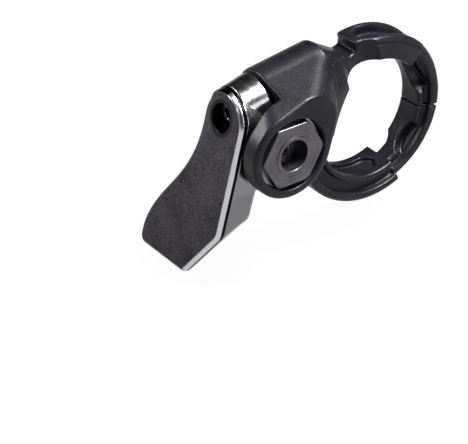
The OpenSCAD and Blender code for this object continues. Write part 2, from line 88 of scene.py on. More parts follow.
class Graph:
    """A material's node tree, with short calls that add and join its nodes."""

    def __init__(self, name: str) -> None:
        """Makes an empty material.

        Args:
            name: The material's name.
        """
        self.material = bpy.data.materials.new(name)
        self.material.use_nodes = True
        self.tree = self.material.node_tree
        self.shader = self.tree.nodes["Principled BSDF"]
        self.output = self.tree.nodes["Material Output"]
        self.where = self.add("ShaderNodeTexCoord").outputs["Object"]

    def add(self, kind: str, **settings: object) -> bpy.types.Node:
        """Adds a node.

        Args:
            kind: The node's type.
            settings: Attributes to set on it.

        Returns:
            The new node.
        """
        node = self.tree.nodes.new(kind)
        for key, value in settings.items():
            setattr(node, key, value)
        return node

    def join(self, source: Socket, target: Socket) -> None:
        """Links an output to an input."""
        self.tree.links.new(source, target)

    def feed(self, target: Socket, value: Socket | float) -> None:
        """Links a socket to an input, or sets the input to a number."""
        if isinstance(value, Socket):
            self.join(value, target)
        else:
            target.default_value = value

    def plain(self, **sockets: float | Colour) -> None:
        """Sets constants on the shader's own sockets, by name with _ for a space."""
        for key, value in sockets.items():
            socket = self.shader.inputs[key.replace("_", " ")]
            socket.default_value = (*value, 1.0) if isinstance(value, tuple) else value

    def math(self, operation: str, first: Socket | float, second: Socket | float = 0.0,
             third: Socket | float = 0.0, clamp: bool = False) -> Socket:
        """Adds a math node.

        Args:
            operation: The math node's operation.
            first: Its first input.
            second: Its second input.
            third: Its third input, where the operation has one.
            clamp: Whether the result is held between 0 and 1.

        Returns:
            The result.
        """
        node = self.add("ShaderNodeMath", operation=operation, use_clamp=clamp)
        for socket, value in zip(node.inputs, (first, second, third)):
            self.feed(socket, value)
        return node.outputs[0]

    def noise(self, scale: float, detail: float = 2.0, rough: float = 0.5,
              stretch: Triple = (1.0, 1.0, 1.0)) -> Socket:
        """Adds noise in the piece's own coordinates.

        Args:
            scale: Cells per metre.
            detail: Octaves.
            rough: Weight of the finer octaves.
            stretch: Scale along each axis.

        Returns:
            The noise's value.
        """
        place = self.add("ShaderNodeMapping")
        place.inputs["Scale"].default_value = stretch
        self.join(self.where, place.inputs["Vector"])
        node = self.add("ShaderNodeTexNoise")
        node.inputs["Scale"].default_value = scale
        node.inputs["Detail"].default_value = detail
        node.inputs["Roughness"].default_value = rough
        self.join(place.outputs["Vector"], node.inputs["Vector"])
        return node.outputs["Fac"]

    def span(self, value: Socket, low: float, high: float, to_low: float = 0.0,
             to_high: float = 1.0) -> Socket:
        """Maps a range of a value to another range, held at its ends."""
        node = self.add("ShaderNodeMapRange", clamp=True)
        self.join(value, node.inputs["Value"])
        for key, number in (("From Min", low), ("From Max", high), ("To Min", to_low),
                            ("To Max", to_high)):
            node.inputs[key].default_value = number
        return node.outputs["Result"]

    def blend(self, factor: Socket, first: Colour | Socket, second: Colour | Socket) -> Socket:
        """Mixes two colours by a factor."""
        node = self.add("ShaderNodeMix", data_type="RGBA")
        self.join(factor, node.inputs["Factor"])
        for socket, value in ((node.inputs[6], first), (node.inputs[7], second)):
            if isinstance(value, Socket):
                self.join(value, socket)
            else:
                socket.default_value = (*value, 1.0)
        return node.outputs[2]

    def bump(self, height: Socket, depth: float, strength: float = 1.0,
             under: Socket | None = None) -> Socket:
        """Adds a bump.

        Args:
            height: The height's value, from 0 to 1.
            depth: Depth in millimetres.
            strength: Share of the full effect.
            under: A bump that lies under this one.

        Returns:
            The bent normal.
        """
        node = self.add("ShaderNodeBump")
        node.inputs["Strength"].default_value = strength
        node.inputs["Distance"].default_value = depth * MM
        self.join(height, node.inputs["Height"])
        if under is not None:
            self.join(under, node.inputs["Normal"])
        return node.outputs["Normal"]

    def from_axis(self, centre: Triple, axis: Triple) -> tuple[Socket, Socket]:
        """Measures where a point lies against an axis.

        Args:
            centre: A point on the axis, in millimetres.
            axis: The axis's direction.

        Returns:
            The distance from the axis and the distance along it, in metres.
        """
        away = self.add("ShaderNodeVectorMath", operation="SUBTRACT")
        away.inputs[1].default_value = tuple(c * MM for c in centre)
        self.join(self.where, away.inputs[0])
        turn = self.add("ShaderNodeVectorMath", operation="CROSS_PRODUCT")
        turn.inputs[1].default_value = axis
        self.join(away.outputs["Vector"], turn.inputs[0])
        far = self.add("ShaderNodeVectorMath", operation="LENGTH")
        self.join(turn.outputs["Vector"], far.inputs[0])
        along = self.add("ShaderNodeVectorMath", operation="DOT_PRODUCT")
        along.inputs[1].default_value = axis
        self.join(away.outputs["Vector"], along.inputs[0])
        return far.outputs["Value"], along.outputs["Value"]

    def edges(self, low: float, high: float) -> Socket:
        """Finds convex edges, as 0 on flat areas and 1 on an edge."""
        return self.span(self.add("ShaderNodeNewGeometry").outputs["Pointiness"], low, high)

    def colour(self, value: Socket) -> None:
        """Joins a colour to the shader."""
        self.join(value, self.shader.inputs["Base Color"])

    def rough(self, value: Socket) -> None:
        """Joins a roughness to the shader."""
        self.join(value, self.shader.inputs["Roughness"])

    def normal(self, value: Socket) -> None:
        """Joins a normal to the shader."""
        self.join(value, self.shader.inputs["Normal"])


# Finishes


@dataclass(frozen=True)
class CastPaint:
    """Matte paint on a blasted casting, thin on its edges."""

    name: str = "cast_paint"
    low: Colour = (0.0009, 0.0008, 0.0016)
    high: Colour = (0.0066, 0.0057, 0.0094)
    worn: Colour = (0.030, 0.029, 0.034)
    roughness: tuple[float, float] = (0.31, 0.44)
    grain: float = 4200.0
    peel: float = 1100.0

    def build(self) -> bpy.types.Material:
        """Builds the material."""
        graph = Graph(self.name)
        grain = graph.noise(self.grain, 3.0, 0.62)
        peel = graph.noise(self.peel, 2.0)
        cloud = graph.noise(160.0, 3.0, 0.55)
        mixed = graph.math("MULTIPLY_ADD", grain, 0.45, graph.math("MULTIPLY", cloud, 0.55))
        tone = graph.blend(graph.span(mixed, 0.36, 0.64), self.low, self.high)
        rub = graph.math("MULTIPLY", graph.edges(0.53, 0.62),
                         graph.span(cloud, 0.4, 0.62, 0.15, 0.7))
        graph.colour(graph.blend(rub, tone, self.worn))
        graph.rough(graph.math("SUBTRACT", graph.span(grain, 0.3, 0.7, *self.roughness),
                               graph.math("MULTIPLY", rub, 0.1)))
        graph.normal(graph.bump(grain, 0.035, 0.55, graph.bump(peel, 0.05, 0.4)))
        graph.plain(Metallic=0.0, Specular_IOR_Level=0.17)
        return graph.material


@dataclass(frozen=True)
class LeverFinish:
    """Dark polished metal, with a blasted matte face on the blade, a painted highlight on the
    right-facing part of the face's edge band, and painted shade in the groove behind that band and
    in the pivot's hole.
    """

    name: str
    face_normal: Triple
    face_offset: float
    pivot: Triple
    axis: Triple
    gloss: Colour = (0.21, 0.21, 0.22)
    # Painted highlight: a bright colour on the right-facing part of the face's edge band.
    painted_rim_highlight: Colour = (0.52, 0.52, 0.54)
    # Painted shade: near black, standing in for the dark reflection in the groove behind the edge
    # band and for the shade in the pivot's hole.
    joint: Colour = (0.003, 0.003, 0.0035)
    face_low: Colour = (0.0050, 0.0042, 0.0062)
    face_high: Colour = (0.034, 0.030, 0.037)
    grain: float = 2300.0
    # Depth below the face of the band that gets the painted highlight.
    highlight_depth: float = 0.65
    joint_depth: float = 1.25
    hole_r: float = 3.0

    def build(self) -> bpy.types.Material:
        """Builds the material, whose face is told from its sides by place and direction."""
        graph = Graph(self.name)
        coords = graph.add("ShaderNodeTexCoord")
        slant = graph.add("ShaderNodeVectorMath", operation="DOT_PRODUCT")
        slant.inputs[1].default_value = self.face_normal
        graph.join(coords.outputs["Normal"], slant.inputs[0])
        depth = graph.add("ShaderNodeVectorMath", operation="DOT_PRODUCT")
        depth.inputs[1].default_value = self.face_normal
        graph.join(graph.where, depth.inputs[0])
        facing = graph.span(slant.outputs["Value"], 0.955, 0.985)
        near = graph.span(depth.outputs["Value"], self.face_offset - 0.16 * MM,
                          self.face_offset - 0.08 * MM)
        face = graph.math("MULTIPLY", facing, near)
        grain = graph.noise(self.grain, 3.0, 0.65)
        cloud = graph.noise(140.0, 3.0)
        scuff = graph.noise(700.0, 4.0, 0.6, (1.0, 1.0, 0.25))
        mixed = graph.math("MULTIPLY_ADD", grain, 0.6, graph.math("MULTIPLY", cloud, 0.4))
        matte = graph.blend(graph.span(mixed, 0.36, 0.64), self.face_low, self.face_high)
        shine = graph.blend(graph.span(cloud, 0.4, 0.6), tuple(0.8 * c for c in self.gloss),
                            self.gloss)
        below = depth.outputs["Value"]
        # The band at the highlight depth below the face, where the painted highlight goes.
        highlight_band = graph.span(below, self.face_offset - (self.highlight_depth + 0.05) * MM,
                            self.face_offset - (self.highlight_depth - 0.05) * MM)
        # The groove is cut in the mesh. Its near-black colour here is painted shade.
        shaded_groove = graph.span(below, self.face_offset - (self.joint_depth + 0.05) * MM,
                              self.face_offset - (self.joint_depth - 0.05) * MM)
        # Inside the pivot's hole the colour is painted shade.
        outside_shaded_hole = graph.span(graph.from_axis(self.pivot, self.axis)[0], self.hole_r * MM,
                             (self.hole_r + 0.2) * MM)
        # Only normals turned to the right get the painted highlight.
        across = graph.add("ShaderNodeSeparateXYZ")
        graph.join(coords.outputs["Normal"], across.inputs[0])
        right = graph.span(across.outputs[0], 0.12, 0.34)
        # Painted highlight on the band's right-facing part, painted shade in the groove, and the
        # polished colour elsewhere.
        edge = graph.blend(graph.math("MULTIPLY", highlight_band, right),
                           graph.blend(shaded_groove, shine, self.joint), self.painted_rim_highlight)
        # Painted shade in the pivot's hole, then the matte face, then the sides with their painted
        # highlight.
        graph.colour(graph.blend(outside_shaded_hole, self.joint, graph.blend(face, edge, matte)))
        polish = graph.span(scuff, 0.3, 0.75, 0.19, 0.31)
        blasted = graph.span(grain, 0.3, 0.7, 0.46, 0.58)
        mix = graph.add("ShaderNodeMix", data_type="FLOAT")
        graph.join(face, mix.inputs["Factor"])
        graph.join(polish, mix.inputs[2])
        graph.join(blasted, mix.inputs[3])
        graph.rough(mix.outputs[0])
        graph.join(graph.math("SUBTRACT", 1.0, face), graph.shader.inputs["Metallic"])
        fine = graph.bump(grain, 0.05, 0.6)
        soft = graph.bump(scuff, 0.012, 0.18)
        choose = graph.add("ShaderNodeMix", data_type="VECTOR")
        graph.join(face, choose.inputs["Factor"])
        graph.join(soft, choose.inputs[4])
        graph.join(fine, choose.inputs[5])
        graph.normal(choose.outputs[1])
        graph.plain(Specular_IOR_Level=0.07)
        return graph.material


@dataclass(frozen=True)
class Metal:
    """A machined or rolled metal with its tool marks."""

    name: str
    dark: Colour
    light: Colour
    roughness: tuple[float, float] = (0.24, 0.38)
    lay: Lay = Lay.TURNED
    centre: Triple = (0.0, 0.0, 0.0)
    axis: Triple = (0.0, 0.0, 1.0)
    marks: float = 5200.0
    depth: float = 0.012
    metallic: float = 1.0

    def lines(self, graph: Graph) -> Socket:
        """Makes the pattern of the tool marks.

        Args:
            graph: The material's node tree.

        Returns:
            The height of the marks, from 0 to 1.
        """
        if self.lay is Lay.TUMBLED:
            return graph.noise(self.marks, 4.0, 0.6)
        if self.lay is Lay.ROLLED:
            stretch = tuple(0.06 if abs(a) > 0.5 else 1.0 for a in self.axis)
            return graph.noise(self.marks, 3.0, 0.6, stretch)
        rings = graph.add("ShaderNodeTexNoise", noise_dimensions="2D")
        both = graph.add("ShaderNodeCombineXYZ")
        for source, target in zip(graph.from_axis(self.centre, self.axis), both.inputs):
            graph.join(source, target)
        graph.join(both.outputs["Vector"], rings.inputs["Vector"])
        rings.inputs["Scale"].default_value = self.marks
        rings.inputs["Detail"].default_value = 3.0
        return rings.outputs["Fac"]

    def build(self) -> bpy.types.Material:
        """Builds the material."""
        graph = Graph(self.name)
        lines = self.lines(graph)
        cloud = graph.noise(420.0, 4.0, 0.6)
        mixed = graph.math("MULTIPLY_ADD", lines, 0.5, graph.math("MULTIPLY", cloud, 0.5))
        graph.colour(graph.blend(graph.span(mixed, 0.36, 0.64), self.dark, self.light))
        graph.rough(graph.span(mixed, 0.3, 0.7, *self.roughness))
        graph.normal(graph.bump(lines, self.depth, 0.5, graph.bump(cloud, 0.02, 0.15)))
        graph.plain(Metallic=self.metallic)
        return graph.material


@dataclass(frozen=True)
class Nylon:
    """A moulded washer plastic with a faint satin."""

    name: str = "nylon"
    low: Colour = (0.018, 0.018, 0.019)
    high: Colour = (0.035, 0.035, 0.036)

    def build(self) -> bpy.types.Material:
        """Builds the material."""
        graph = Graph(self.name)
        grain = graph.noise(2600.0, 3.0)
        graph.colour(graph.blend(graph.span(grain, 0.35, 0.65), self.low, self.high))
        graph.rough(graph.span(grain, 0.3, 0.7, 0.38, 0.52))
        graph.normal(graph.bump(grain, 0.015, 0.4))
        graph.plain(Metallic=0.0)
        return graph.material


# Meshes


def hexagon(across_flats: float, corner: float = 0.05) -> Callable[[float], float]:
    """Gives a hexagon's radius by angle, with a point at angle 0 and blunted corners.

    Args:
        across_flats: Its width.
        corner: What its corners lose.

    Returns:
        The radius as a function of the angle.
    """
    flat = across_flats / 2
    tip = flat / math.cos(math.pi / 6) - corner
    return lambda a: min(flat / math.cos(a % (math.pi / 3) - math.pi / 6), tip)


def thread(outer: float, pitch: float, height: float, depth: float) -> Callable[[float], float]:
    """Gives a thread's radius by angle, at one height along the screw.

    Args:
        outer: Radius over the crests.
        pitch: Distance of the crests.
        height: Place along the screw.
        depth: Depth of the thread.

    Returns:
        The radius as a function of the angle.
    """
    def radius(a: float) -> float:
        """Gives the radius at an angle."""
        wave = (height / pitch - a / (2 * math.pi)) % 1.0
        return outer - depth * (1 - min(1.0, 1.3 * (1 - abs(2 * wave - 1))))
    return radius


def mesh_piece(name: str, points: Sequence[Vector], faces: Sequence[Sequence[int]],
               sharp: float = 32.0) -> bpy.types.Object:
    """Makes a mesh object.

    Args:
        name: The piece's name.
        points: Its points in metres.
        faces: Its faces.
        sharp: Angle in degrees above which an edge stays sharp.

    Returns:
        The new object.
    """
    mesh = bpy.data.meshes.new(name)
    mesh.from_pydata([tuple(p) for p in points], [], faces)
    mesh.validate()
    mesh.shade_smooth()
    mesh.set_sharp_from_angle(angle=math.radians(sharp))
    piece = bpy.data.objects.new(name, mesh)
    bpy.context.scene.collection.objects.link(piece)
    return piece


def lofted(name: str, rings: Sequence[tuple[float, Radius]], place: Matrix, sides: int = 96,
           closed: bool = False) -> bpy.types.Object:
    """Makes a turned piece out of rings round its axis.

    Args:
        name: The piece's name.
        rings: Height and radius of each ring, from one end of the profile to the other.
        place: The frame whose Z is the axis, in millimetres.
        sides: Points in a ring.
        closed: Whether the last ring joins the first, as round a bore.

    Returns:
        The new object.
    """
    points = []
    for height, radius in rings:
        for k in range(sides):
            a = 2 * math.pi * k / sides
            r = radius(a) if callable(radius) else radius
            points.append(place @ Vector((r * math.cos(a), r * math.sin(a), height)) * MM)
    faces = []
    count = len(rings)
    for i in range(count if closed else count - 1):
        near, far = i * sides, (i + 1) % count * sides
        for k in range(sides):
            n = (k + 1) % sides
            faces.append((near + k, near + n, far + n, far + k))
    if not closed:
        faces.append(tuple(range(sides - 1, -1, -1)))
        faces.append(tuple((count - 1) * sides + k for k in range(sides)))
    return mesh_piece(name, points, faces)


def tube(name: str, path: Sequence[Vector], radius: float, axis: Vector,
         sides: int = 14) -> bpy.types.Object:
    """Makes a round wire along a path.

    Args:
        name: The piece's name.
        path: Its centreline in metres.
        radius: Its radius in metres.
        axis: A direction that the path never runs along for long.
        sides: Points round the wire.

    Returns:
        The new object.
    """
    points = []
    for i, here in enumerate(path):
        along = (path[min(i + 1, len(path) - 1)] - path[max(i - 1, 0)]).normalized()
        out = along.cross(axis)
        out = out.normalized() if out.length > 0.2 else along.orthogonal().normalized()
        side = along.cross(out)
        for k in range(sides):
            a = 2 * math.pi * k / sides
            points.append(here + radius * (math.cos(a) * out + math.sin(a) * side))
    faces = [(i * sides + k, i * sides + (k + 1) % sides, (i + 1) * sides + (k + 1) % sides,
              (i + 1) * sides + k) for i in range(len(path) - 1) for k in range(sides)]
    faces.append(tuple(range(sides - 1, -1, -1)))
    faces.append(tuple((len(path) - 1) * sides + k for k in range(sides)))
    return mesh_piece(name, points, faces, 50.0)


def dress(piece: bpy.types.Object, body: Body, material: bpy.types.Material,
          node: str) -> None:
    """Gives a new piece its body, its finish and the node it stands for.

    Args:
        piece: The new piece.
        body: The body that it rides on.
        material: Its finish.
        node: The node that it stands for.
    """
    piece.data.materials.clear()
    piece.data.materials.append(material)
    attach(piece, body.value)
    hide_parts(node)
    LOG.info("%s stands for %s, %d faces", piece.name, node, len(piece.data.polygons))


def paint(node: str, material: bpy.types.Material, edge: float = 0.0) -> None:
    """Gives a carried-over node its finish and a fine bevel.

    Args:
        node: The node's name.
        material: Its finish.
        edge: Width of the bevel in millimetres, or 0 for none.
    """
    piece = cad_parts[node]
    piece.data.materials.clear()
    piece.data.materials.append(material)
    if edge:
        bevel = piece.modifiers.new("edge", "BEVEL")
        bevel.width = edge * MM
        bevel.segments = 2
        bevel.limit_method = "ANGLE"
        bevel.angle_limit = math.radians(40)
    LOG.info("%s is finished in %s", node, material.name)


# The pivot's and the blade's places


@dataclass(frozen=True)
class Layout:
    """Places that several sub-assemblies share, as in the part's source."""

    pivot_height: float = 12.8
    pivot_tilt: float = 8.0
    barrel_face: float = 22.6
    blade_y: float = 30.5
    blade_lean: float = 20.0
    boss_y: float = 22.4
    boss_z: float = 3.35
    bolt_y: float = 15.698

    def pivot(self) -> Matrix:
        """Gives the pivot's frame, whose -Y runs out along the pivot."""
        return (Matrix.Translation((0, 0, self.pivot_height))
                @ Matrix.Rotation(math.radians(self.pivot_tilt), 4, "X"))

    def along_pivot(self, distance: float) -> Matrix:
        """Gives a frame on the pivot whose Z runs towards the clamp.

        Args:
            distance: Its distance from the clamp's centre along the pivot.

        Returns:
            The frame.
        """
        return (self.pivot() @ Matrix.Translation((0, -distance, 0))
                @ Matrix.Rotation(math.radians(-90), 4, "X"))

    def blade(self) -> Matrix:
        """Gives the blade's frame, whose -Y is the normal of its face."""
        return (self.pivot() @ Matrix.Translation((0, -self.blade_y, 0))
                @ Matrix.Rotation(math.radians(-self.blade_lean), 4, "X"))

    def boss(self) -> Matrix:
        """Gives the cable boss's frame, whose Z runs along the bar."""
        turn = Matrix(((0, 0, 1, 0), (1, 0, 0, 0), (0, 1, 0, 0), (0, 0, 0, 1)))
        return Matrix.Translation((0, -self.boss_y, self.boss_z)) @ turn


LAYOUT = Layout()


# Sub-assemblies


@dataclass
class Casting:
    """A cast piece, whose edges and inner corners get the rounds of a casting."""

    node: str
    body: Body
    slot: Slot
    voxel: float = 0.17
    rounds: int = 6
    strength: float = 0.5

    def build(self) -> bpy.types.Object:
        """Builds the rounded form from the node's solid.

        Returns:
            The new object.
        """
        piece = bpy.data.objects.new(f"{self.node}_casting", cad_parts[self.node].data.copy())
        bpy.context.scene.collection.objects.link(piece)
        cells = piece.modifiers.new("cells", "REMESH")
        cells.mode = "VOXEL"
        cells.voxel_size = self.voxel * MM
        cells.use_smooth_shade = True
        soft = piece.modifiers.new("soft", "SMOOTH")
        soft.factor = self.strength
        soft.iterations = self.rounds
        graph = bpy.context.evaluated_depsgraph_get()
        mesh = bpy.data.meshes.new_from_object(piece.evaluated_get(graph))
        piece.modifiers.clear()
        piece.data = mesh
        mesh.name = piece.name
        mesh.shade_smooth()
        return piece

    def dress(self, piece: bpy.types.Object, material: bpy.types.Material) -> None:
        """Finishes the piece and sets it on its body."""
        dress(piece, self.body, material, self.node)


@dataclass
class BodyCasting(Casting):
    """The body's casting, whose barrel, boss and saddle flow into each other."""

    flow_rounds: int = 36
    fade: float = 0.8
    bore_r: float = 11.1
    root_r: float = 14.6
    recess_r: float = 7.0
    boss_front: float = 9.8
    split_z: float = 1.55
    pocket: float = 13.1
    pocket_side: float = 3.3

    def share(self, spot: Vector) -> float:
        """Gives how freely a point may flow, from 0 at a machined edge to 1.

        Args:
            spot: The point in millimetres.

        Returns:
            The share.
        """
        depth = LAYOUT.barrel_face + (LAYOUT.pivot().inverted() @ spot).y
        boss = math.hypot(spot.y + LAYOUT.boss_y, spot.z - LAYOUT.boss_z)
        nose = spot.x > 4 and spot.y < -9 or spot.y < -2 and spot.z > 8
        room = min(math.hypot(spot.y, spot.z) - (self.bore_r + 0.5 if nose else self.root_r),
                   depth - 0.5, self.boss_front - spot.x - 0.2,
                   spot.z - self.split_z - 0.3)
        if spot.x > 7 and boss < self.recess_r + 1:
            room = min(room, boss - self.recess_r)
        if depth < self.pocket + 0.5 and spot.x < self.pocket_side:
            room = min(room, self.pocket - depth - 0.9)
        return min(1.0, max(0.0, room / self.fade))

    def build(self) -> bpy.types.Object:
        """Builds the rounded form and lets its broad faces flow.

        Returns:
            The new object.
        """
        piece = super().build()
        group = piece.vertex_groups.new(name="flow")
        for vertex in piece.data.vertices:
            share = self.share(vertex.co / MM)
            if share > 0:
                group.add([vertex.index], share, "REPLACE")
        flow = piece.modifiers.new("flow", "SMOOTH")
        flow.factor = 0.6
        flow.iterations = self.flow_rounds
        flow.vertex_group = group.name
        graph = bpy.context.evaluated_depsgraph_get()
        mesh = bpy.data.meshes.new_from_object(piece.evaluated_get(graph))
        piece.modifiers.clear()
        piece.data = mesh
        return piece


@dataclass
class LeverCasting(Casting):
    """The lever's casting, with the fine groove cut between its face's edge band and its sides."""

    joint_from: float = 0.6
    joint_to: float = 1.3
    joint_depth: float = 0.18
    hole_r: float = 3.0

    def build(self) -> bpy.types.Object:
        """Builds the rounded form and cuts the groove.

        Returns:
            The new object.
        """
        piece = super().build()
        blade = LAYOUT.blade()
        out = (blade.to_3x3() @ Vector((0, -1, 0))).normalized()
        face = out.dot(blade.translation)
        pivot = LAYOUT.pivot()
        axis = pivot.to_3x3() @ Vector((0, 1, 0))
        moves = []
        for vertex in piece.data.vertices:
            depth = face - out.dot(vertex.co) / MM
            share = (depth - self.joint_from) / (self.joint_to - self.joint_from)
            if not 0 < share < 1 or abs(vertex.normal.dot(out)) > 0.5:
                continue
            if (vertex.co / MM - pivot.translation).cross(axis).length > self.hole_r:
                moves.append((vertex, vertex.normal * self.joint_depth * MM
                              * math.sin(math.pi * share) ** 0.6))
        for vertex, move in moves:
            vertex.co -= move
        return piece


@dataclass
class CapScrew:
    """The clamp's socket-headed bolt, with its knurled head and its thread."""

    head_r: float = 3.4
    head_h: float = 4.0
    shank_r: float = 2.0
    length: float = 11.5
    socket: float = 3.0
    socket_depth: float = 2.2
    pitch: float = 0.7
    bottom: float = -8.255
    knurls: int = 30

    def profile(self) -> list[tuple[float, Radius]]:
        """Gives the rings from the socket's floor round the head to the shank's end."""
        knurl = lambda a: self.head_r - 0.1 * abs(math.sin(self.knurls / 2 * a)) ** 0.7
        end = self.head_h + self.length
        rings: list[tuple[float, Radius]] = [
            (self.socket_depth + 0.45, 0.02), (self.socket_depth, hexagon(self.socket, 0.02)),
            (0.3, hexagon(self.socket, 0.02)), (0.0, self.socket * 0.6 + 0.06),
            (0.0, self.head_r - 0.5), (0.05, self.head_r - 0.28), (0.18, self.head_r - 0.1),
            (0.4, self.head_r - 0.02), (0.55, self.head_r), (0.75, knurl),
            (self.head_h - 0.5, knurl), (self.head_h - 0.3, self.head_r - 0.02),
            (self.head_h - 0.08, self.head_r - 0.02), (self.head_h, self.head_r - 0.1),
            (self.head_h, self.shank_r + 0.02), (self.head_h + 0.6, self.shank_r - 0.02)]
        step = self.pitch / 8
        height = self.head_h + 0.8
        while height < end - 0.35:
            rings.append((height, thread(self.shank_r - 0.01, self.pitch, height, 0.26)))
            height += step
        rings += [(end - 0.3, self.shank_r - 0.27), (end, self.shank_r - 0.5), (end, 0.02)]
        return rings

    def build(self, material: bpy.types.Material) -> bpy.types.Object:
        """Builds and finishes the bolt."""
        place = Matrix.Translation((0, -LAYOUT.bolt_y, self.bottom))
        piece = lofted("socket_head_bolt", self.profile(), place, sides=240)
        dress(piece, Body.BOLT, material, "clamp_bolt")
        return piece


@dataclass
class PivotStack:
    """The shoulder bolt that carries the lever, and what it holds."""

    head_r: float = 2.13
    head_face: float = 29.0
    head_h: float = 1.2
    shoulder_r: float = 1.5
    shoulder_end: float = 21.1
    thread_r: float = 1.25
    thread_len: float = 6.0
    socket: float = 2.0
    pitch: float = 0.45

    def profile(self) -> list[tuple[float, Radius]]:
        """Gives the rings from the socket's floor to the thread's end."""
        shoulder = self.head_face - self.shoulder_end
        end = shoulder + self.thread_len
        rings: list[tuple[float, Radius]] = [
            (0.95, 0.02), (0.78, hexagon(self.socket, 0.02)), (0.16, hexagon(self.socket, 0.02)),
            (0.0, self.socket * 0.6 + 0.04), (0.0, self.head_r - 0.42), (0.06, self.head_r - 0.2),
            (0.2, self.head_r - 0.06), (0.4, self.head_r), (self.head_h - 0.08, self.head_r),
            (self.head_h, self.head_r - 0.08), (self.head_h, self.shoulder_r),
            (shoulder - 0.12, self.shoulder_r), (shoulder, self.shoulder_r - 0.12)]
        height = shoulder + 0.3
        rings.append((shoulder, self.thread_r - 0.1))
        while height < end - 0.3:
            rings.append((height, thread(self.thread_r - 0.01, self.pitch, height, 0.18)))
            height += self.pitch / 8
        rings += [(end - 0.25, self.thread_r - 0.2), (end, self.thread_r - 0.4), (end, 0.02)]
        return rings

    def build(self, bolt: bpy.types.Material, steel: bpy.types.Material,
              bronze: bpy.types.Material, nylon: bpy.types.Material) -> None:
        """Builds the bolt and finishes its washers and bushes.

        Args:
            bolt: The bolt's finish.
            steel: The washers' finish.
            bronze: The bushes' finish.
            nylon: The thrust washer's finish.
        """
        piece = lofted("shoulder_bolt", self.profile(), LAYOUT.along_pivot(self.head_face))
        dress(piece, Body.FRAME, bolt, "pivot_bolt")
        paint("head_washer", steel, 0.05)
        paint("disc_spring", steel)
        paint("outer_bush", bronze, 0.08)
        paint("inner_bush", bronze, 0.08)
        paint("thrust_washer", nylon, 0.08)


@dataclass
class ReturnSpring:
    """The torsion spring round the post, with a leg in the body and one in the hub."""

    wire_r: float = 0.3
    radius: float = 3.5
    turns: float = 4.5
    floor: float = 18.4
    hub_face: float = 23.2
    leg: float = 1.3
    steps: int = 40

    def path(self) -> list[Vector]:
        """Gives the wire's centreline in metres."""
        start = self.floor + self.wire_r + 0.1
        lead = 2 * self.wire_r + 0.1
        spots = [(0.0, self.floor - self.leg), (0.0, self.floor - self.leg / 2),
                 (0.0, start - 0.35), (0.01, start - 0.1)]
        spots += [(i / self.steps, start + lead * i / self.steps)
                  for i in range(2, int(self.steps * self.turns) - 1)]
        top = start + lead * self.turns
        spots += [(self.turns - 0.01, top + 0.1), (self.turns, top + 0.35),
                  (self.turns, (top + 0.35 + self.hub_face + self.leg) / 2),
                  (self.turns, self.hub_face + self.leg)]
        place = LAYOUT.pivot()
        return [place @ Vector((-self.radius * math.cos(2 * math.pi * t), -y,
                                self.radius * math.sin(2 * math.pi * t))) * MM for t, y in spots]

    def build(self, material: bpy.types.Material) -> bpy.types.Object:
        """Builds and finishes the spring."""
        axis = LAYOUT.pivot().to_3x3() @ Vector((0, 1, 0))
        piece = tube("torsion_spring", self.path(), self.wire_r * MM, axis)
        dress(piece, Body.FRAME, material, "return_spring")
        return piece


@dataclass
class CableStop:
    """The hexagonal stop in the boss, bored for the guide's ferrule and the cable."""

    across_flats: float = 11.0
    face: float = 9.8
    seat: float = 8.2
    lip: float = 0.15
    lip_r: float = 3.5
    bore_r: float = 2.8
    bore_floor: float = 7.0
    stem_r: float = 3.8
    stem_back: float = 6.6
    nose_r: float = 1.6
    nose_back: float = 4.2
    cable_r: float = 0.9
    cut: float = 0.35

    def profile(self) -> list[tuple[float, Radius]]:
        """Gives the rings round the stop's section, back to where they start."""
        flats = hexagon(self.across_flats, 0.1)
        corner = self.across_flats / 2 / math.cos(math.pi / 6)

        def cut_hexagon(depth: float) -> Callable[[float], float]:
            """Gives the chamfered hexagon's radius, at a depth below its face."""
            cone = corner - self.cut + depth
            return lambda a: min(flats(a) - max(0.0, 0.06 - depth), cone)

        rings: list[tuple[float, Radius]] = [
            (self.face + self.lip - 0.1, self.bore_r), (self.face + self.lip, self.bore_r + 0.1),
            (self.face + self.lip, self.lip_r - 0.1), (self.face + self.lip - 0.08, self.lip_r),
            (self.face, self.lip_r), (self.face, self.lip_r + 0.3)]
        rings += [(self.face - d, cut_hexagon(d)) for d in (0, 0.03, 0.07, 0.13, 0.19, 0.26, 0.34)]
        rings += [(self.seat + 0.06, flats), (self.seat, lambda a: flats(a) - 0.06),
                  (self.seat, self.stem_r), (self.stem_back + 0.1, self.stem_r),
                  (self.stem_back, self.stem_r - 0.1), (self.stem_back, self.nose_r),
                  (self.nose_back + 0.15, self.nose_r), (self.nose_back, self.nose_r - 0.15),
                  (self.nose_back, self.cable_r + 0.1), (self.nose_back + 0.1, self.cable_r),
                  (self.bore_floor - 0.3, self.cable_r), (self.bore_floor, self.cable_r + 0.3),
                  (self.bore_floor, self.bore_r)]
        return rings

    def build(self, alloy: bpy.types.Material, steel: bpy.types.Material) -> bpy.types.Object:
        """Builds the stop and finishes it and its washer."""
        piece = lofted("hex_stop", self.profile(), LAYOUT.boss(), sides=192, closed=True)
        dress(piece, Body.FRAME, alloy, "housing_stop")
        paint("stop_washer", steel, 0.06)
        return piece


